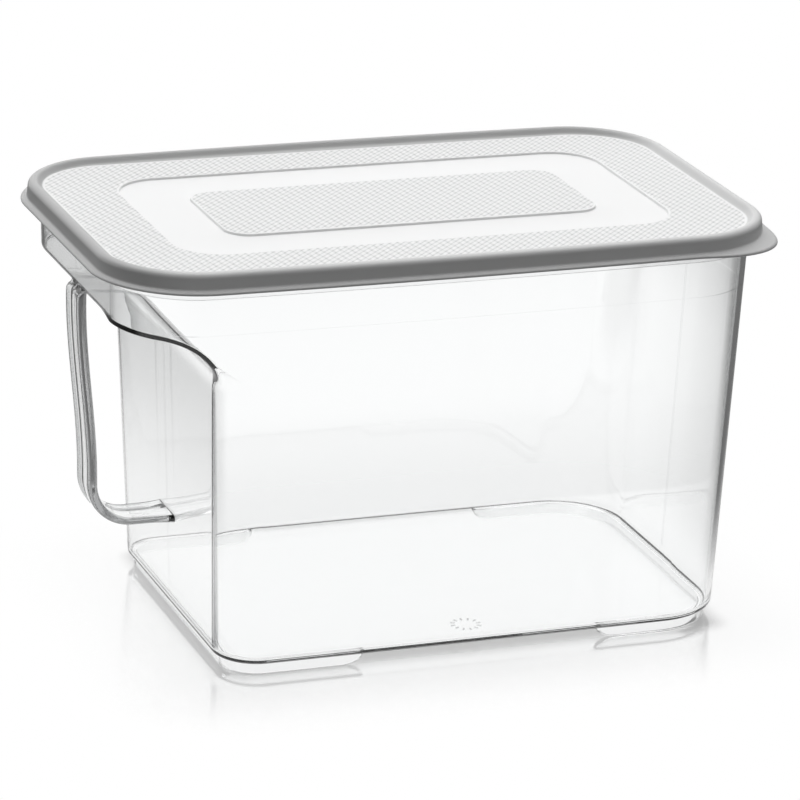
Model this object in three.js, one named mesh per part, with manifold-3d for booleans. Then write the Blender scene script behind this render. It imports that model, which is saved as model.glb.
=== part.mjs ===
// Clear food keeper with a moulded side handle and a press-on lid.
// Two mouldings: the tub, whose handle is one with it, and the lid.
// Millimetres, +Z up, the origin on the floor under the middle of the lid. +X points away
// from the handle, and the pull tab is at the corner of +X and -Y.

import * as THREE from 'three';
import { mergeVertices } from 'three/addons/utils/BufferGeometryUtils.js';
import Module from 'manifold-3d';

const wasm = await Module();
wasm.setup();

// Heights above the floor
const footHeight = 5;
const baseEdge = 5.6;
const floorTop = 7;
const collarBottom = 144;
const rimBandBottom = 161.3;
const rimTop = 170.9;

// The tub's outside, at the rim and at the base edge, from the middle of the lid
const rimHalfLength = 134.4;
const rimHalfWidth = 77.9;
const rimCorner = 32.3;
const rimCrown = 2.7;
const baseFarEnd = 129.6;
const baseHalfWidth = 73.5;
const baseCorner = 31;
const baseCrown = 0.7;

// The end wall behind the handle, set back under the collar
const recessAtRim = 99.2;
const recessAtBase = 92.2;
const recessCornerAtBase = 18;
const recessCornerAtFillet = 14;
const recessFillet = 25;
const ledgeCorner = 1.5;
const cornerKept = 6;
const cornerRunOut = 9;

// Walls
const tubWall = 2;
const ledgeWall = 1.5;
const leastCorner = 0.8;
const floorFillet = 4.5;
const ledgeDraft = 0.6;

// The tub's rim: a thicker band with a lip turned out over it
const rimBandStep = 0.5;
const lipReach = 3;
const lipThickness = 2.4;
const lipSlope = 1.5;

// Foot ribs, one U round each end of the base
const footInset = 2.4;
const footWidth = 3.2;
const footDraft = 0.5;
const footEndLeft = 33;
const footEndRight = 68.5;
const footRamp = 9;

// Handle: a grooved strap and a lower strut, swept as one ribbon
const strapWidth = 17.5;
const strapThickness = 4.2;
const strutThickness = 3.2;
const strutRootWidth = 22;
const strapFoot = 130.3;
const strapSpread = 5.6;
const bendRadius = 17.2;
const strutMiddle = 45.7;
const edgeShare = 0.4;
const grooveShare = 0.36;
const grooveDepth = 1;
const strapTop = 143.4;
const strapMergeRise = 2.6;

// Lid
const lidOverhang = 8.1;
const lidWall = 1.4;
const flangeDrop = 5.5;
const flangeEdge = 1.3;
const flangeWidth = 2.45;
const skirtClearance = 0.7;
const plugClearance = 0.4;
const plugDepth = 6;
const beadRise = 2.6;
const beadCrest = 5.5;
const beadRound = 2.2;
const beadFoot = 9.9;
const beadFlare = 0.5;
const beadFlareRiseShare = 0.15;
const panelRise = 0.2;
const bandDepth = 1;
const stepWidth = 1.2;
const seatGap = 0.3;

// The lid's own heights, measured from the top of the rim that it seats on
const flangeBottom = rimTop - flangeDrop;
const beadTop = rimTop + beadRise;
const panelTop = rimTop + panelRise;

// The sunken smooth band and the raised plateau in its middle
const bandHalfLength = 105;
const bandHalfWidth = 53.6;
const bandCorner = 19;
const plateauHalfLength = 79.6;
const plateauHalfWidth = 30;
const plateauCorner = 10.3;

// Pull tab: how far the flange swells out at its corner, and the middle and half spread of the
// swelling round the corner, as parts of a right angle
const tabReach = 6.3;
const tabTurnShare = 0.58;
const tabSpreadShare = 0.51;

// What a cut runs past the face it opens
const cutOverrun = 2;

// Facets
const cornerSteps = 9;
const sideSteps = 8;
const endSteps = 4;
const filletSteps = 6;
const bendSteps = 8;
const rampSteps = 5;
const edgeSteps = 3;

const mix = (a, b, share) => a + (b - a) * share;

// A rounded outline at one height, counter-clockwise. It is a rounded rectangle, as long on both
// sides of the middle, cut off at the left by a wall whose own corners are leftCorner. The long
// sides swell outwards by the crown, most at the middle of the lid.
function outline({ left, right, half, leftCorner, rightCorner, crown }, z) {
  const flat = [];
  const footX = right - rightCorner;
  const footY = half - rightCorner;
  const narrower = rightCorner - leftCorner;
  const past = narrower > 0 ? (left - leftCorner - footX) / narrower : 0;
  const meet = Math.asin(Math.min(1, Math.max(0, past)));
  const cutX = left - leftCorner;
  const cutY = footY + narrower * Math.cos(meet);
  const quarter = (i) => (Math.PI / 2) * (i / cornerSteps);
  const addRight = (side) => {
    for (let i = 0; i <= cornerSteps; i++) {
      const angle = side > 0 ? quarter(i) : quarter(cornerSteps - i);
      flat.push([footX + rightCorner * Math.cos(angle), side * (footY + rightCorner * Math.sin(angle))]);
    }
  };
  const addLeft = (side) => {
    for (let i = 0; i <= cornerSteps; i++) {
      const angle = side > 0 ? quarter(i) : quarter(cornerSteps - i);
      const onCut = angle >= meet;
      const radius = onCut ? leftCorner : rightCorner;
      const x = (onCut ? cutX : footX) + radius * Math.sin(angle);
      const y = (onCut ? cutY : footY) + radius * Math.cos(angle);
      flat.push([-x, side * y]);
    }
  };
  const addSide = (steps, toX, toY) => {
    const [fromX, fromY] = flat[flat.length - 1];
    for (let i = 1; i < steps; i++) {
      flat.push([mix(fromX, toX, i / steps), mix(fromY, toY, i / steps)]);
    }
  };
  addRight(1);
  addSide(sideSteps, meet > 0 ? -footX : -cutX, half);
  addLeft(1);
  addSide(endSteps, -left, -cutY);
  addLeft(-1);
  addSide(sideSteps, footX, -half);
  addRight(-1);
  addSide(endSteps, right, footY);
  return flat.map(([x, y]) => {
    const middleShare = 1 - (x / (rimHalfLength + lidOverhang)) ** 2;
    return [x, y + (y / half) * crown * middleShare, z];
  });
}

// The same outline grown by a distance on every side
function grow(size, by) {
  return {
    ...size,
    left: size.left + by,
    right: size.right + by,
    half: size.half + by,
    leftCorner: Math.max(leastCorner, size.leftCorner + by),
    rightCorner: size.rightCorner + by,
  };
}

// Closed skin through rings of equal count, with a fan over the first ring and over the last
function skin(rings) {
  const count = rings[0].length;
  const points = rings.flat();
  const centre = (ring) => [0, 1, 2].map((k) => ring.reduce((sum, p) => sum + p[k], 0) / count);
  const first = points.push(centre(rings[0])) - 1;
  const last = points.push(centre(rings[rings.length - 1])) - 1;
  const top = (rings.length - 1) * count;
  const index = [];
  for (let i = 0; i < count; i++) {
    const next = (i + 1) % count;
    index.push(first, next, i, last, top + i, top + next);
    for (let k = 0; k < rings.length - 1; k++) {
      const low = k * count;
      const high = low + count;
      index.push(low + i, low + next, high + next, low + i, high + next, high + i);
    }
  }
  const geometry = new THREE.BufferGeometry();
  geometry.setAttribute('position', new THREE.Float32BufferAttribute(points.flat(), 3));
  geometry.setIndex(index);
  return geometry;
}

// A solid for joining and cutting, from a closed geometry
function solid(geometry) {
  const bare = geometry.clone();
  bare.deleteAttribute('normal');
  bare.deleteAttribute('uv');
  const merged = mergeVertices(bare);
  return new wasm.Manifold(new wasm.Mesh({
    numProp: 3,
    vertProperties: new Float32Array(merged.attributes.position.array),
    triVerts: new Uint32Array(merged.index.array),
  }));
}

function namedMesh(body, name, material) {
  const mesh = body.getMesh();
  const geometry = new THREE.BufferGeometry();
  geometry.setAttribute('position', new THREE.BufferAttribute(mesh.vertProperties, 3));
  geometry.setIndex(new THREE.BufferAttribute(mesh.triVerts, 1));
  geometry.computeVertexNormals();
  const part = new THREE.Mesh(geometry, material);
  part.name = name;
  return part;
}

// The tub's outside at a height. Below the collar the handle's end is set back, and a wide fillet
// carries it out to the collar's ledge. The wall's round corners run out into the ledge's edge.
function tubOutside(z) {
  const share = (z - baseEdge) / (rimBandBottom - baseEdge);
  const size = {
    right: mix(baseFarEnd, rimHalfLength, share),
    half: mix(baseHalfWidth, rimHalfWidth, share),
    crown: mix(baseCrown, rimCrown, share),
    rightCorner: mix(baseCorner, rimCorner, share),
  };
  if (z > collarBottom) {
    return { ...size, left: size.right, leftCorner: size.rightCorner };
  }
  const rise = Math.max(0, z - (collarBottom - recessFillet));
  const reach = recessFillet - Math.sqrt(recessFillet ** 2 - rise ** 2);
  const wall = mix(recessAtBase, recessAtRim, share);
  const run = Math.min(1, Math.max(0, rise - cornerKept) / cornerRunOut);
  const corner = mix(recessCornerAtBase, recessCornerAtFillet, (z - baseEdge) / (collarBottom - baseEdge));
  return {
    ...size,
    left: wall + reach,
    leftCorner: mix(corner, ledgeCorner, run * run * (3 - 2 * run)),
  };
}

// Heights of the rings through the fillet under the ledge, closest where it curves most
function filletHeights(bottom, radius) {
  const heights = [];
  for (let i = 0; i <= filletSteps; i++) {
    heights.push(bottom + radius * Math.sin((Math.PI / 2) * (i / filletSteps)));
  }
  return heights;
}

// One skin: under the base, up the outside, over the rim, down the inside to the floor
function tubShell() {
  const ring = (z, by) => outline(grow(tubOutside(z), by), z);
  const at = (size, z, by) => outline(grow(size, by), z);
  const rings = [];
  rings.push(at(tubOutside(baseEdge), footHeight, footHeight - baseEdge - footDraft));
  rings.push(ring(baseEdge, 0));
  for (const z of filletHeights(collarBottom - recessFillet, recessFillet)) {
    rings.push(ring(z, 0));
  }
  rings.push(ring(collarBottom + ledgeDraft, 0));
  rings.push(ring(rimBandBottom, 0));
  rings.push(ring(rimBandBottom + rimBandStep, rimBandStep));
  const rim = tubOutside(rimBandBottom);
  const lipBottom = rimTop - lipThickness;
  rings.push(at(rim, lipBottom - lipReach / 2, rimBandStep));
  rings.push(at(rim, lipBottom, lipReach));
  rings.push(at(rim, rimTop - rimBandStep, lipReach));
  rings.push(at(rim, rimTop, lipReach - rimBandStep));
  rings.push(at(rim, rimTop - lipSlope, -tubWall));
  const ledgeTop = collarBottom + ledgeWall;
  rings.push(at(tubOutside(ledgeTop), ledgeTop + ledgeDraft, -tubWall));
  const outsideAt = filletHeights(collarBottom - recessFillet, recessFillet).reverse();
  for (const z of outsideAt) {
    const turn = Math.asin(Math.min(1, (z - collarBottom + recessFillet) / recessFillet));
    const inside = grow(tubOutside(z), -tubWall);
    const wallShift = tubWall * (1 - Math.cos(turn));
    rings.push(outline({ ...inside, left: inside.left + wallShift }, z + ledgeWall * Math.sin(turn)));
  }
  for (let i = 0; i <= filletSteps; i++) {
    const turn = (Math.PI / 2) * (i / filletSteps);
    const z = floorTop + floorFillet * (1 - Math.sin(turn));
    rings.push(at(tubOutside(z), z, -tubWall - floorFillet * (1 - Math.cos(turn))));
  }
  return solid(skin(rings));
}

// A foot rib: a drafted bar along the base outline round one end, from one long side to the other.
// Its height runs out in a quarter round at both ends.
function footRib(side) {
  const base = grow(tubOutside(baseEdge), -footInset - footWidth / 2);
  const stop = side < 0 ? footEndLeft : footEndRight;
  const whole = outline(base, 0);
  const path = whole.filter(([x]) => x * side > stop);
  if (side > 0) {
    const split = whole.findIndex(([x]) => x * side <= stop);
    const tail = whole.length - 1 - [...whole].reverse().findIndex(([x]) => x * side <= stop);
    path.splice(0, path.length, ...whole.slice(tail + 1), ...whole.slice(0, split));
  }
  const sideY = (x) => {
    const crownShare = 1 - (x / (rimHalfLength + lidOverhang)) ** 2;
    return base.half + base.crown * crownShare;
  };
  const ends = [];
  for (let i = rampSteps; i >= 0; i--) {
    const out = footRamp * (1 - Math.cos((Math.PI / 2) * (i / rampSteps)));
    const x = side * (stop + out);
    ends.push({ x, y: sideY(x), share: Math.sin((Math.PI / 2) * (i / rampSteps)) });
  }
  const body = path
    .filter(([x]) => x * side > stop + footRamp)
    .map(([x, y]) => ({ x, y, share: 1 }));
  const firstSign = Math.sign(body[0].y);
  const head = ends.map((e) => ({ ...e, y: e.y * firstSign })).reverse();
  const foot = ends.map((e) => ({ ...e, y: -e.y * firstSign }));
  const stations = [...head, ...body, ...foot];
  const rings = stations.map((s, i) => {
    const before = stations[Math.max(0, i - 1)];
    const after = stations[Math.min(stations.length - 1, i + 1)];
    const along = new THREE.Vector2(after.x - before.x, after.y - before.y).normalize();
    const out = [along.y, -along.x];
    const root = footHeight + tubWall / 2;
    const tip = footHeight * (1 - s.share);
    const half = footWidth / 2;
    const place = (across, z) => [s.x + out[0] * across, s.y + out[1] * across, z];
    return [
      place(half, root),
      place(half - footDraft, tip + footDraft * s.share),
      place(half - 2 * footDraft, tip),
      place(-half + 2 * footDraft, tip),
      place(-half + footDraft, tip + footDraft * s.share),
      place(-half, root),
    ];
  });
  return solid(skin(rings));
}

// The handle's middle line in the plane through the tub's length, from inside the end wall along
// the strut, round the bend and up the strap to the collar, with the ribbon's size at each point
function handleStations() {
  const stations = [];
  const bendX = -strapFoot + strapThickness / 2 + bendRadius;
  const bendZ = strutMiddle + bendRadius;
  const wall = -tubOutside(strutMiddle).left + tubWall / 2;
  for (const share of [0, 0.25, 0.6]) {
    const eased = (1 - share) ** 2;
    stations.push({
      x: mix(wall, bendX, share),
      z: strutMiddle,
      turn: 0,
      width: mix(strapWidth, strutRootWidth, eased),
      thickness: strutThickness,
    });
  }
  for (let i = 0; i <= bendSteps; i++) {
    const turn = (Math.PI / 2) * (i / bendSteps);
    stations.push({
      x: bendX - bendRadius * Math.sin(turn),
      z: bendZ - bendRadius * Math.cos(turn),
      turn,
      width: strapWidth,
      thickness: mix(strutThickness, strapThickness, i / bendSteps),
    });
  }
  for (const share of [0.15, 0.3, 0.45, 0.6, 0.75, 0.88, 1]) {
    const eased = share * share * (3 - 2 * share);
    stations.push({
      x: -strapFoot + strapThickness / 2 - strapSpread * eased,
      z: mix(bendZ, strapTop, share),
      turn: Math.PI / 2,
      width: strapWidth,
      thickness: strapThickness,
    });
  }
  const outerFace = tubOutside(strapTop + strapMergeRise).left - tubWall / 2;
  const innerFace = strapFoot + strapSpread - strapThickness;
  stations.push({
    x: -(outerFace + innerFace) / 2,
    z: strapTop + strapMergeRise,
    turn: Math.PI / 2,
    width: strapWidth,
    thickness: outerFace - innerFace,
  });
  return stations;
}

// The ribbon with rounded edges and a shallow groove down the middle of its outer face
function handle() {
  const rings = handleStations().map(({ x, z, turn, width, thickness }) => {
    const outward = [-Math.sin(turn), -Math.cos(turn)];
    const edge = thickness * edgeShare;
    const half = width / 2;
    const groove = half * grooveShare;
    const round = (cy, cz, start) => Array.from({ length: edgeSteps + 1 }, (_, i) => {
      const angle = start + (Math.PI / 2) * (i / edgeSteps);
      return [cy + edge * Math.cos(angle), cz + edge * Math.sin(angle)];
    });
    const section = [
      ...round(half - edge, -thickness / 2 + edge, -Math.PI / 2),
      ...round(half - edge, thickness / 2 - edge, 0),
      [groove + grooveDepth, thickness / 2],
      [groove, thickness / 2 - grooveDepth],
      [-groove, thickness / 2 - grooveDepth],
      [-groove - grooveDepth, thickness / 2],
      ...round(-half + edge, thickness / 2 - edge, Math.PI / 2),
      ...round(-half + edge, -thickness / 2 + edge, Math.PI),
    ];
    return section.map(([y, out]) => [x + outward[0] * out, y, z + outward[1] * out]);
  });
  return solid(skin(rings));
}

// The tub: shell, foot ribs and handle are one moulding. What the handle's roots push through to
// the inside of the walls is cut away.
function tub() {
  const cavity = [];
  const ledgeTop = collarBottom + ledgeWall + ledgeDraft;
  cavity.push(outline(grow(tubOutside(ledgeTop), -tubWall), ledgeTop));
  cavity.push(outline(grow(tubOutside(rimBandBottom), -tubWall), rimTop + cutOverrun));
  const shell = tubShell();
  const strap = handle().subtract(solid(skin(cavity)));
  return shell.add(footRib(-1)).add(footRib(1)).add(strap);
}

// The lid's outline at a distance in from its edge
const lidSize = grow({
  left: rimHalfLength,
  right: rimHalfLength,
  half: rimHalfWidth,
  leftCorner: rimCorner,
  rightCorner: rimCorner,
  crown: rimCrown,
}, lidOverhang);

function lidRing(inset, z) {
  return outline(grow(lidSize, -inset), z);
}

// A ring of the flange's edge, which swells out to the pull tab at one corner
function flangeRing(inset, z) {
  const centreX = lidSize.right - lidSize.rightCorner;
  const centreY = -lidSize.half + lidSize.rightCorner;
  return lidRing(inset, z).map(([x, y]) => {
    const angle = Math.atan2(y - centreY, x - centreX);
    const offset = (angle + tabTurnShare * Math.PI / 2) / (tabSpreadShare * Math.PI / 2);
    const swell = Math.abs(offset) < 1 ? tabReach * (1 + Math.cos(Math.PI * offset)) / 2 : 0;
    return [x + swell * Math.cos(angle), y + swell * Math.sin(angle), z];
  });
}

function panelRing(halfLength, halfWidth, corner, by, z) {
  const size = {
    left: halfLength,
    right: halfLength,
    half: halfWidth,
    leftCorner: corner,
    rightCorner: corner,
    crown: rimCrown / 4,
  };
  return outline(grow(size, by), z);
}

// One skin: from the middle of the underside out over the plug lip and the channel for the rim,
// round the flange and the bead, and back over the panel to the middle of the top
function lidShell() {
  const band = (by, z) => panelRing(bandHalfLength, bandHalfWidth, bandCorner, by, z);
  const plateau = (by, z) => panelRing(plateauHalfLength, plateauHalfWidth, plateauCorner, by, z);
  const under = panelTop - lidWall;
  const plugOut = lidOverhang + tubWall + plugClearance;
  const plugIn = plugOut + lidWall;
  const skirtIn = lidOverhang - lipReach - skirtClearance;
  const sunk = panelTop - bandDepth;
  const rings = [
    plateau(-lidWall / 2, under),
    plateau(-lidWall / 2 + stepWidth, under - bandDepth),
    band(-lidWall / 2 - stepWidth, under - bandDepth),
    band(-lidWall / 2, under),
    lidRing(plugIn, under),
    lidRing(plugIn, under - plugDepth + lidWall / 2),
    lidRing(plugIn - lidWall / 4, under - plugDepth),
    lidRing(plugOut + lidWall / 2, under - plugDepth),
    lidRing(plugOut, under - plugDepth + lidWall),
    lidRing(plugOut, under),
    lidRing(skirtIn + lidWall, rimTop + seatGap),
    lidRing(skirtIn, rimTop - lipSlope / 2),
    lidRing(skirtIn, flangeBottom),
    flangeRing(flangeEdge / 4, flangeBottom),
    flangeRing(0, flangeBottom + flangeEdge / 4),
    flangeRing(0, flangeBottom + flangeEdge * 0.7),
    flangeRing(flangeEdge / 3, flangeBottom + flangeEdge),
    lidRing(flangeWidth - flangeEdge / 3, flangeBottom + flangeEdge * 1.1),
    lidRing(flangeWidth, flangeBottom + flangeEdge * 1.5),
  ];
  const shoulder = beadTop - beadRound;
  for (let i = 0; i <= filletSteps; i++) {
    const turn = (Math.PI / 2) * (i / filletSteps);
    const inset = mix(beadCrest, flangeWidth + lidWall / 4, Math.cos(turn));
    rings.push(lidRing(inset, shoulder + beadRound * Math.sin(turn)));
  }
  for (let i = 1; i <= filletSteps; i++) {
    const turn = (Math.PI / 2) * (i / filletSteps);
    const inset = mix(beadCrest, beadFoot - beadFlare, Math.sin(turn));
    const share = mix(beadFlareRiseShare, 1, Math.cos(turn));
    rings.push(lidRing(inset, mix(panelTop, beadTop, share)));
  }
  rings.push(lidRing(beadFoot, panelTop));
  rings.push(
    band(0, panelTop),
    band(-stepWidth, sunk),
    plateau(stepWidth, sunk),
    plateau(0, panelTop),
  );
  return solid(skin(rings));
}

const clearPlastic = new THREE.MeshStandardMaterial({
  color: '#eef1f1',
  roughness: 0.06,
  metalness: 0,
  transparent: true,
  opacity: 0.3,
});
const frostedPlastic = new THREE.MeshStandardMaterial({
  color: '#dcdddd',
  roughness: 0.42,
  metalness: 0,
});

const foodKeeper = new THREE.Group();
foodKeeper.add(namedMesh(tub(), 'tub', clearPlastic));
foodKeeper.add(namedMesh(lidShell(), 'lid', frostedPlastic));

export default foodKeeper;
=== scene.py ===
import bpy
import numpy as np
from mathutils import Matrix, Vector


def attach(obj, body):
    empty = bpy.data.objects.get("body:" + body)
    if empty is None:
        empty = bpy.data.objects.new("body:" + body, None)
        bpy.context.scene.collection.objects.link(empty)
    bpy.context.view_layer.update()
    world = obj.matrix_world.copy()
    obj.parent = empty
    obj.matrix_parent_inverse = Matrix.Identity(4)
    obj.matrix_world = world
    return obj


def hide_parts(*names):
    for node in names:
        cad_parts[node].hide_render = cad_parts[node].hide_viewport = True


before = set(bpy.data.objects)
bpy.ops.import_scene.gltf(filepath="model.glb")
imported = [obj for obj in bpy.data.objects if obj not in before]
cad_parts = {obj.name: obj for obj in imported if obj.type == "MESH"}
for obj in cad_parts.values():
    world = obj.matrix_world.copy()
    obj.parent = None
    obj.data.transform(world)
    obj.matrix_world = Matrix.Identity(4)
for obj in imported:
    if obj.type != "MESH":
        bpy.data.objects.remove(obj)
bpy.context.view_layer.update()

# The camera of the photograph: a long lens a little to the left of the box and above it,
# tilted by two degrees. The three directions are worked out from the box's own edges.
camera_place = Vector((-0.61744, -1.62072, 0.68224))
camera_right = Vector((0.93709, -0.34723, 0.03593))
camera_up = Vector((0.08124, 0.31702, 0.94493))
camera_forward = Vector((0.33950, 0.88257, -0.32528))

camera_data = bpy.data.cameras.new("camera")
camera_data.lens = 200.07
camera_data.sensor_width = 36.0
camera_data.clip_end = 50.0
camera = bpy.data.objects.new("camera", camera_data)
turned = Matrix((camera_right, camera_up, -camera_forward)).transposed().to_4x4()
camera.matrix_world = Matrix.Translation(camera_place) @ turned
bpy.context.scene.collection.objects.link(camera)
bpy.context.scene.camera = camera
bpy.context.scene.view_settings.view_transform = "Standard"

# The table and the light: a white glossy sheet that runs back out of sight, one broad soft lamp
# over and behind the box, and a dim room in front. Beyond the box's shadow the sheet is plain white.


class Amount:
    """A number that changes over a surface. Arithmetic on it adds Math nodes to its material."""

    def __init__(self, finish, socket):
        self.finish = finish
        self.socket = socket

    def sum_with(self, operation, *others):
        return self.finish.node("ShaderNodeMath", {"operation": operation}, self, *others)[0]

    def __add__(self, other):
        return self.sum_with("ADD", other)

    def __radd__(self, other):
        return self.sum_with("ADD", other)

    def __sub__(self, other):
        return self.sum_with("SUBTRACT", other)

    def __rsub__(self, other):
        return self.finish.node("ShaderNodeMath", {"operation": "SUBTRACT"}, other, self)[0]

    def __mul__(self, other):
        return self.sum_with("MULTIPLY", other)

    def __rmul__(self, other):
        return self.sum_with("MULTIPLY", other)

    def __truediv__(self, other):
        return self.sum_with("DIVIDE", other)

    def __neg__(self):
        return self.sum_with("MULTIPLY", -1.0)

    def __abs__(self):
        return self.sum_with("ABSOLUTE")

    def power(self, exponent):
        return self.sum_with("POWER", exponent)

    def larger(self, other):
        return self.sum_with("MAXIMUM", other)

    def smaller(self, other):
        return self.sum_with("MINIMUM", other)

    def wave(self):
        """Its cosine."""
        return self.sum_with("COSINE")

    def fade(self, low, high):
        """0 below low, 1 above high, and smooth between."""
        smooth = {"interpolation_type": "SMOOTHSTEP"}
        return self.finish.node("ShaderNodeMapRange", smooth, self, low, high, 0.0, 1.0)[0]


class Finish:
    """A material, or the room's light, and the nodes that make it."""

    def __init__(self, owner):
        owner.use_nodes = True
        self.owner = owner
        self.tree = owner.node_tree
        self.tree.nodes.clear()

    def node(self, kind, settings, *values, **named):
        """Adds a node, sets it up, and fills its sockets in order or by name."""
        made = self.tree.nodes.new(kind)
        for key, setting in settings.items():
            setattr(made, key, setting)
        filled = list(enumerate(values)) + list(named.items())
        for key, value in filled:
            if isinstance(key, int):
                socket = made.inputs[key]
            else:
                socket = [i for i in made.inputs if i.name == key.replace("_", " ") and i.enabled][0]
            if isinstance(value, Amount):
                self.tree.links.new(value.socket, socket)
            else:
                socket.default_value = value
        return [Amount(self, output) for output in made.outputs]

    def place(self):
        """The point's own coordinates on the object, in metres."""
        point = self.node("ShaderNodeTexCoord", {})[3]
        return self.node("ShaderNodeSeparateXYZ", {}, point)

    def blend(self, share, first, second):
        """A colour that goes from first to second as share goes from 0 to 1."""
        first, second = (v if isinstance(v, Amount) else (*v, 1.0) for v in (first, second))
        mixed = self.node("ShaderNodeMix", {"data_type": "RGBA"}, Factor=share, A=first, B=second)
        return [v for v in mixed if v.socket.type == "RGBA"][0]

    def layer(self, share, under, over):
        """A shader that goes from under to over as share goes from 0 to 1."""
        return self.node("ShaderNodeMixShader", {}, share, under, over)[0]

    def end(self, shader, kind="ShaderNodeOutputMaterial"):
        self.node(kind, {}, shader)
        return self.owner


table_size = 12.0
table_corners = np.array([[-1, -1], [1, -1], [1, 1], [-1, 1]]) * table_size / 2
table_mesh = bpy.data.meshes.new("table")
table_mesh.from_pydata([(x, y, 0.0) for x, y in table_corners], [], [(0, 1, 2, 3)])
table_top = bpy.data.objects.new("table", table_mesh)
bpy.context.scene.collection.objects.link(table_top)

table = Finish(bpy.data.materials.new("white_table"))
table_x, table_y = table.place()[:2]
rays = table.node("ShaderNodeLightPath", {})
seen_straight, after_diffuse, in_gloss, through_plastic, bounces = (rays[i] for i in (0, 2, 3, 6, 8))
bent = in_gloss.larger(through_plastic)
seen = seen_straight.larger(bent)

# How far a point of the table is from the base of the box, in metres.
base_middle, base_reach, base_depth = 0.018, 0.10, 0.065
past_ends = (abs(table_x - base_middle) - base_reach).larger(0.0)
past_sides = (abs(table_y) - base_depth).larger(0.0)
from_box = (past_ends * past_ends + past_sides * past_sides).power(0.5)

# The sheet itself takes the box's shadow. Seen from outside the shadow it is plain white, with a
# painted shadow, a little grey, behind the back wall where it is seen through the plastic. At the foot
# it shows the box's mirror image and a painted contact shadow.
white = (1.0, 1.0, 1.0)
# painted shadow: grey on the table just behind the back wall, only where it is seen through the
# plastic
painted_shadow_share = through_plastic * table_y.fade(0.084, 0.09) * (1.0 - table_y.fade(0.0, 0.25))
plain_with_painted_shadow = table.blend(painted_shadow_share, white, (0.83, 0.83, 0.83))
plain = table.node("ShaderNodeEmission", {}, plain_with_painted_shadow, 1.0)[0]
# painted contact shadow: a dim glow on the table right at the foot of the box
painted_contact_shadow = table.node("ShaderNodeEmission", {}, (*white, 1.0), 0.3)[0]
# painted shade: the dim glow of the table beside the lit lane and in front of the box
painted_studio_shade = table.node("ShaderNodeEmission", {}, (*white, 1.0), 0.16)[0]
mirror = table.node("ShaderNodeBsdfAnisotropic", {}, (*white, 1.0), 0.12)[0]
# painted shade: for diffuse bounces the sheet is dark grey, so it throws less light back up onto the
# box
sheet_tone_with_painted_bounce_shade = table.blend(after_diffuse, (0.95, 0.95, 0.95), (0.4, 0.4, 0.4))
sheet = table.node(
    "ShaderNodeBsdfPrincipled", {}, Base_Color=sheet_tone_with_painted_bounce_shade, Roughness=0.1, Specular_IOR_Level=0.35,
)[0]
foot_look = table.layer(0.95 - from_box.fade(0.0, 0.01) * 0.4, sheet, plain)
foot_look = table.layer(seen_straight * 0.42, foot_look, mirror)
painted_contact_share = seen_straight * (0.62 - from_box.fade(0.0, 0.014) * 0.62)
foot_look = table.layer(painted_contact_share, foot_look, painted_contact_shadow)
table_look = table.layer(seen, sheet, foot_look)
table_look = table.layer(seen * from_box.fade(0.0, 0.07), table_look, plain)

# The studio behind the box is lit only in a lane seen from the front, and dark beside it and in front
# of it: that dark is painted shade, a dim glow on the table where light bent by the plastic meets it.
# The clear plastic bends that dark into its edges.
lane = (table_x - camera_place.x) / (table_y - camera_place.y).larger(0.2)
off_lane = abs(lane - 0.372).fade(0.072, 0.16) * table_y.fade(-0.10, 0.02) * from_box.fade(0.015, 0.06)
in_front = abs(table_x).fade(0.45, 0.8).larger(1.0 - table_y.fade(-0.75, -0.35))
painted_studio_shade_share = bent * off_lane.larger(in_front) * (4.9 - bounces).fade(0.0, 0.5)
table_mesh.materials.append(table.end(table.layer(painted_studio_shade_share, table_look, painted_studio_shade)))

room = Finish(bpy.data.worlds.new("room"))
bpy.context.scene.world = room.owner
way = room.node("ShaderNodeTexCoord", {})[0]
way_x, way_y, way_z = room.node("ShaderNodeSeparateXYZ", {}, way)
behind_box = (way_y - abs(way_x) * 1.2 + way_z * 0.6).fade(-0.6, 0.55)
room_light = room.node("ShaderNodeBackground", {}, (1.0, 1.0, 1.0, 1.0), behind_box * 0.87 + 0.13)[0]
room.end(room_light, "ShaderNodeOutputWorld")

lamp_place = Vector((0.1, 0.45, 1.5))
lamp_aim = Vector((0.0, 0.0, 0.1))
lamp_data = bpy.data.lights.new("overhead", "AREA")
lamp_data.shape = "RECTANGLE"
lamp_data.size = 1.6
lamp_data.size_y = 1.2
lamp_data.energy = 14.0
lamp = bpy.data.objects.new("overhead", lamp_data)
lamp.location = lamp_place
lamp.rotation_euler = (lamp_aim - lamp_place).to_track_quat("-Z", "Y").to_euler()
bpy.context.scene.collection.objects.link(lamp)

# The tub: one moulding in clear, colourless, glossy plastic. Its handle end is set back under a
# full-size collar, and the strap handle, the rim lip and the two foot ribs are part of it.
mm = 0.001
foot_height = 5.0
base_edge = 5.6
floor_top = 6.2
collar_bottom = 144.0
rim_band_bottom = 161.3
rim_top = 170.9
rim_half_length = 134.4
rim_half_width = 77.9
rim_corner = 32.3
rim_crown = 2.7
base_far_end = 129.6
base_half_width = 73.5
base_corner = 31.0
base_crown = 0.7
recess_at_rim = 99.2
recess_at_base = 92.2
recess_corner_at_base = 18.0
recess_corner_at_fillet = 14.0
recess_fillet = 25.0
ledge_corner = 1.5
corner_run_out = 17.0
tub_wall = 2.0
ledge_wall = 1.5
least_corner = 0.8
floor_fillet = 2.0
lid_overhang = 8.1

corner_count = 22
side_count = 46
end_count = 24


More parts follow.
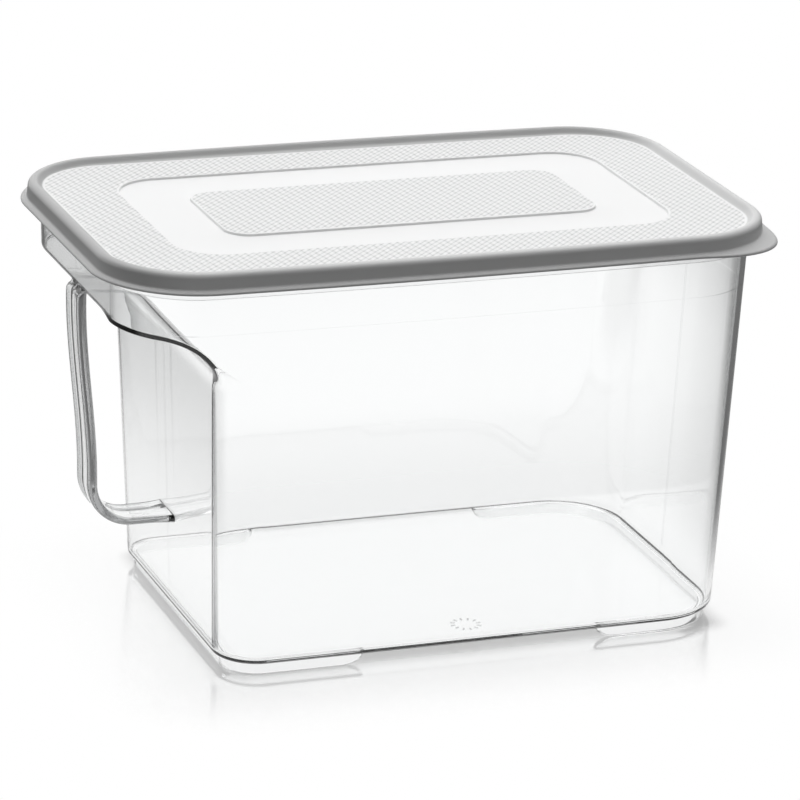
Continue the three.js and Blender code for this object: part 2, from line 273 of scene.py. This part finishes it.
def plan_line(left, right, half, left_corner, right_corner, crown):
    """Outlines, one row each, counter-clockwise from the far end's middle to +Y: a rounded rectangle
    cut off at x = -left by a wall with corners of its own radius, that touch the rectangle's corners
    inside where sin(meet) = (left - left_corner - foot_x) / (right_corner - left_corner). The long
    sides are swelled by crown * (1 - (x / half length) ** 2)."""
    left, right, half, left_corner, right_corner, crown = (
        np.asarray(v, float).reshape(-1, 1) for v in
        np.broadcast_arrays(left, right, half, left_corner, right_corner, crown)
    )
    quarter = np.linspace(0, np.pi / 2, corner_count)[None, :]
    foot_x, foot_y = right - right_corner, half - right_corner
    narrower = right_corner - left_corner
    past = (left - left_corner - foot_x) / np.where(narrower > 1e-6, narrower, 1.0)
    meet = np.arcsin(np.clip(np.where(narrower > 1e-6, past, 0.0), 0, 1))
    cut_x = left - left_corner
    cut_y = foot_y + narrower * np.cos(meet)
    on_cut = quarter >= meet
    radius = np.where(on_cut, left_corner, right_corner)
    left_x = -(np.where(on_cut, cut_x, foot_x) + radius * np.sin(quarter))
    left_y = np.where(on_cut, cut_y, foot_y) + radius * np.cos(quarter)
    right_x = foot_x + right_corner * np.cos(quarter)
    right_y = foot_y + right_corner * np.sin(quarter)
    corners = [(right_x, right_y), (left_x, left_y),
               (left_x[:, ::-1], -left_y[:, ::-1]), (right_x[:, ::-1], -right_y[:, ::-1])]
    pieces = []
    for k, count in enumerate((side_count, end_count, side_count, end_count)):
        (ax, ay), (bx, by) = corners[k], corners[(k + 1) % 4]
        share = np.linspace(0, 1, count + 2)[None, 1:-1]
        pieces.append((ax, ay))
        pieces.append((ax[:, -1:] * (1 - share) + bx[:, :1] * share,
                       ay[:, -1:] * (1 - share) + by[:, :1] * share))
    x = np.concatenate([p[0] for p in pieces], axis=1)
    y = np.concatenate([p[1] for p in pieces], axis=1)
    y = y + y / half * crown * (1 - (x / (rim_half_length + lid_overhang)) ** 2)
    return x, y


def ring_faces(rows, count):
    """Quads between neighbouring rings of a closed tube, and a fan to one extra point at each end."""
    i = np.arange(count)
    j = (i + 1) % count
    low = (np.arange(rows - 1) * count)[:, None]
    quads = np.stack([low + i, low + j, low + count + j, low + count + i], -1).reshape(-1, 4)
    first_middle = np.full(count, rows * count)
    last_middle = first_middle + 1
    top = (rows - 1) * count
    first_fan = np.stack([first_middle, j, i], -1)
    last_fan = np.stack([last_middle, top + i, top + j], -1)
    return quads.tolist() + first_fan.tolist() + last_fan.tolist()


def skin(name, x, y, z):
    """A closed mesh through rings given as rows of x, y and z in millimetres."""
    x, y, z = np.broadcast_arrays(x, y, z)
    rows, count = x.shape
    rings = np.stack([x, y, z], -1).reshape(-1, 3)
    middles = np.stack([rings[:count].mean(0), rings[-count:].mean(0)])
    mesh = bpy.data.meshes.new(name)
    mesh.from_pydata((np.concatenate([rings, middles]) * mm).tolist(), [], ring_faces(rows, count))
    mesh.update()
    return mesh


def tub_size(z):
    """The tub's outside at heights z, as the arguments of plan_line. Under the collar the end wall is
    set back, and leans out to the ledge in a quarter round as its own corners run out."""
    z = np.asarray(z, float)
    share = (z - base_edge) / (rim_band_bottom - base_edge)
    right = base_far_end + (rim_half_length - base_far_end) * share
    half = base_half_width + (rim_half_width - base_half_width) * share
    crown = base_crown + (rim_crown - base_crown) * share
    right_corner = base_corner + (rim_corner - base_corner) * share
    wall = recess_at_base + (recess_at_rim - recess_at_base) * share
    climb = z - (collar_bottom - recess_fillet)
    rise = np.clip(climb, 0, recess_fillet)
    left = wall + recess_fillet - np.sqrt(recess_fillet ** 2 - rise ** 2)
    own = recess_corner_at_base + (recess_corner_at_fillet - recess_corner_at_base) * (
        (z - base_edge) / (collar_bottom - base_edge))
    run = np.clip(climb / corner_run_out, 0, 1)
    left_corner = own + (ledge_corner - own) * run * run * (3 - 2 * run)
    full = z > collar_bottom
    left = np.where(full, right, left)
    left_corner = np.where(full, right_corner, left_corner)
    return left, right, half, left_corner, right_corner, crown


def grown(size, by):
    """A size from tub_size, larger by a distance on every side."""
    left, right, half, left_corner, right_corner, crown = size
    own_corner = np.maximum(least_corner, left_corner + by)
    return left + by, right + by, half + by, own_corner, right_corner + by, crown


def quarter_turns(count):
    return np.linspace(0, np.pi / 2, count)


edge_round_from_y = -46.0
edge_round_over_y = 18.0
edge_round_from_x = 106.0
edge_round_over_x = 16.0

rows = []


def add_rows(size, z, edge_round=0.0):
    """Rings at heights z. The wall at the handle's end gives way by edge_round, but for the corner
    next to the pull tab's side."""
    x, y = plan_line(*size)
    along_end = (y - edge_round_from_y) / edge_round_over_y
    out_to_end = (-x - edge_round_from_x) / edge_round_over_x
    end = np.clip(np.minimum(along_end, out_to_end), 0, 1)
    x = x + np.asarray(edge_round, float).reshape(-1, 1) * end * end * (3 - 2 * end)
    rows.append((x, y, np.broadcast_to(np.asarray(z, float).reshape(-1, 1), x.shape)))


# The underside, the rounded base edge and the outside wall up to the quarter round.
base_round = 1.75
under_insets = np.array([-6.0, -3.5])
turn = quarter_turns(6)
add_rows(grown(tub_size([base_edge]), under_insets), [foot_height, foot_height])
add_rows(grown(tub_size(np.full(6, base_edge)), base_round * (np.sin(turn) - 1)),
         foot_height + base_round * (1 - np.cos(turn)))
wall_heights = np.linspace(6.8, collar_bottom - recess_fillet, 26)
add_rows(tub_size(wall_heights), wall_heights)
turn = quarter_turns(26)[1:]
fillet_heights = collar_bottom - recess_fillet + recess_fillet * np.sin(turn)
add_rows(tub_size(fillet_heights), fillet_heights)

# The ledge under the collar, the collar's rounded lower edge and its outside.
collar_round = 3.0
ledge_draft = 0.6
ledge_rows = 8
share = np.linspace(0, 1, ledge_rows)[1:]
ledge_z = collar_bottom + ledge_draft * share
full = tub_size(ledge_z)
ledge_start = float(tub_size(collar_bottom)[0])
ledge_left = ledge_start + (full[0] - ledge_start) * share
add_rows((ledge_left, full[1], full[2], ledge_corner, full[4], full[5]), ledge_z, collar_round * share)
turn = quarter_turns(9)[1:]
round_z = collar_bottom + ledge_draft + collar_round * (1 - np.cos(turn))
add_rows(tub_size(round_z), round_z, collar_round * (1 - np.sin(turn)))
collar_heights = np.linspace(149, rim_band_bottom, 5)
add_rows(tub_size(collar_heights), collar_heights)

# The rim: a thicker band, a lip turned out over it, and the way back to the inside wall. Rows of
# height and distance out from the wall.
rim = tub_size([rim_band_bottom])
lip_profile = np.array([
    [rim_band_bottom + 0.15, 0.15], [rim_band_bottom + 0.35, 0.42], [rim_band_bottom + 0.6, 0.5],
    [164.0, 0.5], [166.8, 0.5], [167.2, 0.6], [168.3, 2.7], [168.6, 3.0],
    [169.6, 3.0], [170.4, 2.9], [170.8, 2.6], [rim_top, 2.2],
    [170.6, 0.6], [169.8, -1.4], [169.5, -1.85], [169.0, -2.0],
])
rim = tuple(np.repeat(v, len(lip_profile)) for v in rim)
add_rows(grown(rim, lip_profile[:, 1]), lip_profile[:, 0])

# The inside, down the collar, over the ledge, round the quarter round and down to the floor.
ledge_top = collar_bottom + ledge_wall + ledge_draft
inner_round = 1.4
turn = quarter_turns(7)[::-1]
round_z = ledge_top + inner_round * (1 - np.cos(turn))
inside_heights = np.linspace(163, round_z[0] + 1, 5)
add_rows(grown(tub_size(inside_heights), -tub_wall), inside_heights)
add_rows(grown(tub_size(round_z), -tub_wall), round_z, inner_round * (1 - np.sin(turn)))
share = np.linspace(1, 0, ledge_rows)[1:]
full = tub_size(collar_bottom + ledge_draft * share + 0.001)
ledge_left = ledge_start + (full[0] - ledge_start) * share
size = (ledge_left, full[1], full[2], np.full(ledge_rows - 1, ledge_corner), full[4], full[5])
size = grown(size, -tub_wall)
add_rows((size[0] + tub_wall * (1 - share), *size[1:]),
         collar_bottom + ledge_wall + ledge_draft * share, inner_round * share)
turn = quarter_turns(26)[::-1][1:]
fillet_heights = collar_bottom - recess_fillet + recess_fillet * np.sin(turn)
size = grown(tub_size(fillet_heights), -tub_wall)
add_rows((size[0] + tub_wall * (1 - np.cos(turn)), *size[1:]),
         fillet_heights + ledge_wall * np.sin(turn))
inside_heights = wall_heights[::-1][1:-1]
inside_heights = inside_heights[inside_heights > floor_top + floor_fillet + 1]
add_rows(grown(tub_size(inside_heights), -tub_wall), inside_heights)

# The fillet round the floor, and the floor.
floor_inset = -9.0
turn = quarter_turns(9)
heights = floor_top + floor_fillet * (1 - np.sin(turn))
add_rows(grown(tub_size(heights), -tub_wall - floor_fillet * (1 - np.cos(turn))), heights)
add_rows(grown(tub_size([floor_top]), np.array([floor_inset])), [floor_top])
x, y, z = (np.concatenate([r[k] for r in rows]) for k in range(3))
tub_mesh = skin("tub_shell", x, y, z)
tub = bpy.data.objects.new("tub_shell", tub_mesh)
bpy.context.scene.collection.objects.link(tub)

# The handle: a flat strap, hollowed by a shallow channel down its outside, that leaves the collar,
# bends under and comes back to the end wall as a thinner strut that widens at its root.
strap_width = 17.5
strap_thickness = 4.2
strut_thickness = 3.2
strut_root_width = 22.0
strap_foot = 130.3
strap_spread = 5.6
strap_edge_share = 0.4
bend_radius = 17.2
strut_middle = 45.7
strap_top = 141.5
bend_x = -strap_foot + strap_thickness / 2 + bend_radius
bend_z = strut_middle + bend_radius
strut_wall = -float(tub_size(strut_middle)[0]) + tub_wall / 2


def handle_line():
    """The ribbon's middle line and size: along the strut, round a quarter bend, up the strap on a
    smooth step outwards, and into the collar. Rows of x, z, turn, width and thickness."""
    along = np.linspace(0, 1, 14)[:-1]
    still = np.ones(len(along))
    strut = np.stack([
        strut_wall + (bend_x - strut_wall) * along, strut_middle * still, 0 * still,
        strap_width + (strut_root_width - strap_width) * (1 - along) ** 3, strut_thickness * still,
    ], -1)
    turn = np.linspace(0, np.pi / 2, 20)
    thicker = (strap_thickness - strut_thickness) * turn / (np.pi / 2)
    bend = np.stack([
        bend_x - bend_radius * np.sin(turn), bend_z - bend_radius * np.cos(turn), turn,
        np.full(len(turn), strap_width), strut_thickness + thicker,
    ], -1)
    along = np.linspace(0, 1, 26)[1:]
    still = np.ones(len(along))
    strap = np.stack([
        -strap_foot + strap_thickness / 2 - strap_spread * along * along * (3 - 2 * along),
        bend_z + (strap_top - bend_z) * along, np.pi / 2 * still,
        strap_width * still, strap_thickness * still,
    ], -1)
    inner_face = -strap_foot - strap_spread + strap_thickness
    outer_face = np.array([-135.8, -135.5, -135.0, -134.3, -133.4, -133.1])
    heights = np.array([142.6, 143.3, 143.9, 144.3, 144.9, 146.0])
    still = np.ones(len(heights))
    root = np.stack([
        (outer_face + inner_face) / 2, heights, np.pi / 2 * still,
        strap_width * still, inner_face - outer_face,
    ], -1)
    return np.concatenate([strut, bend, strap, root])


def handle_section(width, thickness):
    """Across and outward offsets round the ribbon, one row per station: a rounded rectangle whose
    outer face falls into a flat channel between two rims."""
    edge = thickness * strap_edge_share
    half = width / 2
    turns = np.linspace(0, np.pi / 2, 8)
    c, s = np.cos(turns), np.sin(turns)
    channel = np.array([[0.45, 0.0], [0.42, -0.1], [0.36, -0.6], [0.32, -0.85], [0.27, -0.95]])
    across = [half[:, None] - edge[:, None] * (1 - s[None, :])]
    outward = [-thickness[:, None] / 2 + edge[:, None] * (1 - c[None, :])]
    across.append(half[:, None] - edge[:, None] * (1 - c[None, :]))
    outward.append(thickness[:, None] / 2 - edge[:, None] * (1 - s[None, :]))
    across.append(half[:, None] * channel[None, :, 0])
    outward.append(thickness[:, None] / 2 + channel[None, :, 1] + 0 * half[:, None])
    right_a = np.concatenate(across, 1)
    right_o = np.concatenate(outward, 1)
    return (np.concatenate([right_a, -right_a[:, ::-1]], 1),
            np.concatenate([right_o, right_o[:, ::-1]], 1))


line_x, line_z, line_turn, line_width, line_thick = handle_line().T
across, outward = handle_section(line_width, line_thick)
handle_mesh = skin(
    "handle",
    line_x[:, None] - np.sin(line_turn)[:, None] * outward,
    across,
    line_z[:, None] - np.cos(line_turn)[:, None] * outward,
)
handle = bpy.data.objects.new("handle", handle_mesh)
bpy.context.scene.collection.objects.link(handle)

# The foot ribs: a U under each end of the base, a narrow bar set in from the edge, that run out in a
# quarter round along the sides. They belong to the moulding, and the box stands on them alone.
foot_inset = 2.4
foot_width = 3.2
foot_ramp = 9.0
foot_bite = 1.2


def foot_rib(name, side, stop):
    """A bar along the base outline where side * x is past stop. Its height grows over a ramp by the
    sine of a quarter turn, and its section narrows downwards."""
    x, y = (v[0] for v in plan_line(*grown(tub_size([base_edge]), -foot_inset - foot_width / 2)))
    if side > 0:
        x, y = np.roll(x, len(x) // 2), np.roll(y, len(y) // 2)
    kept = side * x > stop + foot_ramp
    x, y = x[kept], y[kept]
    turn = np.linspace(0, np.pi / 2, 12)[:-1]
    ramp_x = side * (stop + foot_ramp * (1 - np.cos(turn)))
    x = np.concatenate([ramp_x, x, ramp_x[::-1]])
    y = np.concatenate([np.full(11, y[0]), y, np.full(11, y[-1])])
    rise = np.concatenate([np.sin(turn), np.ones(kept.sum()), np.sin(turn)[::-1]])
    dx, dy = np.gradient(x), np.gradient(y)
    length = np.hypot(dx, dy)
    out_x, out_y = dy / length, -dx / length
    half = foot_width / 2
    tip = foot_height * (1 - rise)
    side_profile = np.array([[half, 1.0], [half - 0.35, 0.12], [half - 0.6, 0.03], [half - 1.0, 0.0]])
    across = np.concatenate([side_profile[:, 0], -side_profile[::-1, 0]])
    up = np.concatenate([side_profile[:, 1], side_profile[::-1, 1]])
    root = foot_height + foot_bite
    return skin(
        name,
        x[:, None] + out_x[:, None] * across,
        y[:, None] + out_y[:, None] * across,
        tip[:, None] + (root - tip)[:, None] * up,
    )


def join_solids(main, *others):
    """Makes main one closed skin with the others, whose own objects then go."""
    for other in others:
        joint = main.modifiers.new("join", "BOOLEAN")
        joint.operation = "UNION"
        joint.solver = "EXACT"
        joint.object = other
    bpy.context.view_layer.update()
    joined = bpy.data.meshes.new_from_object(main.evaluated_get(bpy.context.evaluated_depsgraph_get()))
    main.modifiers.clear()
    main.data = joined
    for other in others:
        bpy.data.objects.remove(other)


ribs = []
for rib_name, side, stop in (("foot_near_handle", -1, 33.0), ("foot_far", 1, 68.5)):
    rib = bpy.data.objects.new(rib_name, foot_rib(rib_name, side, stop))
    bpy.context.scene.collection.objects.link(rib)
    ribs.append(rib)
for part in (tub, handle, *ribs):
    part.data.shade_smooth()
join_solids(tub, handle, *ribs)
tub.data.set_sharp_from_angle(angle=np.radians(35))
tub.data.name = "tub_moulding"

# The clear plastic of the whole moulding: colourless and glossy, with the marks of its mould and
# painted shade on its handle, corners and foot.
# All of it is one grey tint, and each mark says where the tint goes and how strong it is.
clear = Finish(bpy.data.materials.new("clear_plastic"))
spot_x, spot_y, spot_z = clear.place()
to_handle_end = -spot_x
off_middle = abs(spot_y)

# The handle's side faces, thick and slightly rough, with painted grey shade that lightens a little
# upwards: within 1.6 mm of the ribbon's half width.
strut_reach = 0.02
widening = (1.0 - ((to_handle_end - 0.094) / strut_reach).smaller(1.0).larger(0.0)).power(3.0)
half_width = strap_width / 2 * mm + (strut_root_width - strap_width) / 2 * mm * widening
on_handle = (to_handle_end - 0.0885).fade(0.005, 0.014) * (0.1448 - spot_z).fade(0.0, 0.0008)
handle_sides = (off_middle - half_width).fade(-0.0016, -0.0006) * on_handle
handle_sides = handle_sides * (0.0118 - off_middle).fade(0.0, 0.0002)
painted_handle_shade = handle_sides * (0.74 - (spot_z - 0.05).fade(0.0, 0.02) * 0.12)

# A painted dark line of shade up each corner of the recess, where the wall starts to turn: it narrows
# upwards and fades.
into_corner = off_middle - (spot_z * 0.063 + 0.0556)
corner_span = 0.004 - spot_z * 0.014
painted_corner_shade = into_corner.fade(-0.0004, 0.0004) * (corner_span - into_corner).fade(-0.0004, 0.0004)
painted_corner_shade = painted_corner_shade * (to_handle_end - 0.088).fade(0.0, 0.002)
painted_corner_shade = painted_corner_shade * (spot_z - 0.0075).fade(0.0, 0.001) * (0.128 - spot_z).fade(0.0, 0.02)
painted_corner_shade = painted_corner_shade * (0.95 - spot_z * 5.0)

# The mould's parting line, 0.8 mm wide, up the middle of both ends.
at_ends = abs(spot_x + 0.013).fade(0.075, 0.08) * (1.0 - on_handle)
parting_mark = (0.0004 - off_middle).fade(0.0, 0.0002) * at_ends
parting_mark = parting_mark * (spot_z - 0.008).fade(0.0, 0.002) * (0.16 - spot_z).fade(0.0, 0.002)

# Painted grey shade on the foot ribs and the rim of the base over them.
at_rim = (off_middle - 0.064).larger(abs(spot_x - 0.0175) - 0.1)
painted_foot_shade = at_rim.fade(0.0, 0.002) * (0.0066 - spot_z).fade(0.0, 0.001)

# The dial in the floor: twelve plain ticks, each on a ray from its middle.
dial_x = spot_x - 0.0168
dial_y = spot_y + 0.0554
dial_far = (dial_x * dial_x + dial_y * dial_y).power(0.5)
dial_turn = clear.node("ShaderNodeMath", {"operation": "ARCTAN2"}, dial_y, dial_x)[0]
tick_mark = (dial_turn * 12.0).wave().fade(0.5, 0.8) * (0.008 - spot_z).fade(0.0, 0.0005)
tick_mark = tick_mark * dial_far.fade(0.0044, 0.0046) * (0.0066 - dial_far).fade(0.0, 0.0002)

# the mould's parting line and the dial ticks, with the painted shade of the handle sides, recess
# corners and foot
marks_and_painted_shade = painted_handle_shade.larger(painted_corner_shade).larger(parting_mark * 0.3)
marks_and_painted_shade = marks_and_painted_shade.larger(painted_foot_shade * 0.08).larger(tick_mark * 0.7)
clear_shader = clear.node(
    "ShaderNodeBsdfPrincipled", {},
    Base_Color=clear.blend(marks_and_painted_shade, (0.985, 0.99, 0.99), (0.2, 0.205, 0.21)),
    Roughness=handle_sides * 0.12 + 0.02, IOR=1.57, Transmission_Weight=1.0,
)[0]
clear_rays = clear.node("ShaderNodeLightPath", {})
straight_through = clear.node("ShaderNodeBsdfTransparent", {}, (0.97, 0.975, 0.975, 1.0))[0]
shadow_or_late = clear_rays[1].larger((clear_rays[8] - 6.5).fade(0.0, 0.5))
tub.data.materials.clear()
tub.data.materials.append(clear.end(clear.layer(shadow_or_late, clear_shader, straight_through)))
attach(tub, "tub")
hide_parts("tub")

# The lid: one flexible moulding in natural frosted plastic. A hollow bead snaps over the rim, a thin
# flange runs round it and swells to a pull tab, and the top steps down to a smooth band and up again.
lid_wall = 1.4
lip_reach = 3.0
skirt_gap = 0.7
plug_gap = 0.4
flange_bottom = rim_top - 5.5
flange_edge = 1.3
flange_width = 2.45
bead_top = 173.5
bead_crest = 5.5
bead_foot = 9.9
panel_top = 171.1
band_depth = 1.0
tab_reach = 6.3
tab_turn_share = 0.58
tab_spread_share = 0.51
band_size = (105.0, 105.0, 53.6, 19.0, 19.0, rim_crown / 4)
plateau_size = (79.6, 79.6, 30.0, 10.3, 10.3, rim_crown / 4)
lid_size = grown(
    (rim_half_length, rim_half_length, rim_half_width, rim_corner, rim_corner, rim_crown), lid_overhang
)

rows = []


def add_profile(size, profile, tab=False):
    """Rings of the lid: profile rows are the inset from size and the height."""
    profile = np.asarray(profile, float)
    n = len(profile)
    x, y = plan_line(*grown(tuple(np.full(n, v) for v in size), -profile[:, 0]))
    if tab:
        centre_x = lid_size[1] - lid_size[4]
        centre_y = lid_size[4] - lid_size[2]
        angle = np.arctan2(y - centre_y, x - centre_x)
        offset = (angle / (np.pi / 2) + tab_turn_share) / tab_spread_share
        swell = np.where(np.abs(offset) < 1, tab_reach * (1 + np.cos(np.pi * offset)) / 2, 0)
        x = x + swell * np.cos(angle)
        y = y + swell * np.sin(angle)
    rows.append((x, y, np.broadcast_to(profile[:, 1:2], x.shape)))


under = panel_top - lid_wall
plug_out = lid_overhang + tub_wall + plug_gap
plug_in = plug_out + lid_wall
skirt_in = lid_overhang - lip_reach - skirt_gap

# The underside: plateau, band, plug lip, the groove for the rim, and the skirt.
add_profile(plateau_size, [[3.0, under], [0.7, under], [-0.5, under - band_depth]])
add_profile(band_size, [[1.9, under - band_depth], [0.7, under]])
add_profile(lid_size, [
    [plug_in + 1.0, under], [plug_in + 0.3, under - 0.1], [plug_in, under - 0.5],
    [plug_in, under - 5.3], [plug_in - 0.3, under - 5.9], [plug_out + 0.7, under - 6.0],
    [plug_out + 0.2, under - 5.2], [plug_out, under - 4.4], [plug_out, under],
    [skirt_in + lid_wall, rim_top + 0.3], [skirt_in + 0.3, rim_top + 0.1],
    [skirt_in, rim_top - 0.75], [skirt_in, flange_bottom + 0.4], [skirt_in - 0.3, flange_bottom],
])

# The flange with its pull tab, and the foot of the bead on it.
add_profile(lid_size, [
    [1.2, flange_bottom], [0.35, flange_bottom + 0.02], [0.08, flange_bottom + 0.15],
    [0.0, flange_bottom + 0.35], [0.06, flange_bottom + 0.6], [0.25, flange_bottom + 0.85],
    [0.6, flange_bottom + 1.08], [1.1, flange_bottom + 1.22], [1.6, flange_bottom + flange_edge],
], tab=True)
add_profile(lid_size, [
    [flange_width - 0.5, flange_bottom + flange_edge + 0.1],
    [flange_width - 0.1, flange_bottom + flange_edge + 0.35],
    [flange_width + 0.12, flange_bottom + flange_edge + 0.9],
])

# The bead: a quarter round up its outside, and half a cosine down its back.
turn = quarter_turns(9)
bead_side = np.stack([
    bead_crest + (flange_width + 0.35 - bead_crest) * np.cos(turn),
    bead_top - 2.4 + 2.4 * np.sin(turn),
], -1)
add_profile(lid_size, bead_side)
share = np.linspace(0, 1, 13)[1:-1]
bead_back = np.stack([
    bead_crest + 0.5 + (bead_foot - bead_crest - 1.0) * share,
    panel_top + (bead_top - panel_top) * (0.5 + 0.5 * np.cos(np.pi * share)),
], -1)
add_profile(lid_size, bead_back)
add_profile(lid_size, [[bead_foot, panel_top]])

# The steps down to the band and up to the plateau: distance in and share of the step's depth.
step = np.array([[-0.3, 0.0], [0.05, -0.05], [0.15, -0.2], [0.25, -0.8], [0.35, -0.95], [0.65, -1.0]])
add_profile(band_size, np.stack([step[:, 0], panel_top + band_depth * step[:, 1]], -1))
up = step[::-1]
add_profile(plateau_size, np.stack([-up[:, 0], panel_top + band_depth * up[:, 1]], -1))
add_profile(plateau_size, [[4.0, panel_top]])
x, y, z = (np.concatenate([r[k] for r in rows]) for k in range(3))
lid_mesh = skin("lid_moulding", x, y, z)
lid = bpy.data.objects.new("lid_moulding", lid_mesh)
bpy.context.scene.collection.objects.link(lid)

frost = Finish(bpy.data.materials.new("frosted_plastic"))
lid_x, lid_y, lid_z = frost.place()


def inside_panel(half_length, half_width, corner):
    """1 inside a rounded rectangle on the lid and 0 outside it: its signed distance, faded."""
    out_x = (abs(lid_x) - (half_length - corner) * mm).larger(0.0)
    out_y = (abs(lid_y) - (half_width - corner) * mm).larger(0.0)
    out = (out_x * out_x + out_y * out_y).power(0.5)
    return 1.0 - out.fade((corner - 0.3) * mm, (corner + 0.3) * mm)


# The weave: three sets of narrow ridges, given by their waves per metre along X and Y and their depth.
weave = 0.0
for per_metre_x, per_metre_y, depth in ((332, -332, 0.55), (269, 54, 0.35), (400, -63, 0.12)):
    groove = ((lid_x * per_metre_x + lid_y * per_metre_y) * (2 * np.pi)).wave() * 0.5 + 0.5
    weave = groove.power(3.0) * depth + weave
outer_panel = inside_panel(132.6, 76.1, 30.0) * (1.0 - inside_panel(105.8, 54.4, 19.8))
textured = outer_panel.larger(inside_panel(79.0, 29.4, 9.7)) * (lid_z - 0.1697).fade(0.0, 0.0003)

# Bead and flange are painted darker, as painted shade: the flange, and the bead on the far side and at
# the handle end, darkest.
over_flange = lid_z.fade(0.1667, 0.1672)
far_bead_shade_mask = lid_y.fade(0.045, 0.08).larger((-lid_x).fade(0.11, 0.135)) * over_flange
painted_bead_shade = frost.blend(over_flange, (0.47, 0.472, 0.472), (0.65, 0.652, 0.652))
painted_bead_shade = frost.blend(far_bead_shade_mask, painted_bead_shade, (0.47, 0.472, 0.472))
# the weave's ridges also darken the panel's colour: painted shade along them, besides their bump
panel_tone_and_painted_ridge_shade = frost.blend(textured * weave, (0.875, 0.878, 0.878), (0.5, 0.505, 0.505))
frost_shader = frost.node(
    "ShaderNodeBsdfPrincipled", {},
    Base_Color=frost.blend(inside_panel(133.5, 77.0, 30.5), painted_bead_shade, panel_tone_and_painted_ridge_shade),
    Roughness=textured * 0.15 + 0.32, Specular_IOR_Level=0.2,
    Subsurface_Weight=0.3, Subsurface_Scale=0.004, Subsurface_Radius=(0.4, 0.4, 0.4),
    Normal=frost.node("ShaderNodeBump", {}, 1.0, 1.0, Height=weave * textured * -0.00016)[0],
)[0]
frost_rays = frost.node("ShaderNodeLightPath", {})
light_through = frost.node("ShaderNodeBsdfTransparent", {}, (1.0, 1.0, 1.0, 1.0))[0]
lid.data.materials.append(frost.end(frost.layer(frost_rays[1] * 0.85, frost_shader, light_through)))
lid.data.shade_smooth()
lid.data.set_sharp_from_angle(angle=np.radians(40))
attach(lid, "lid")
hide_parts("lid")
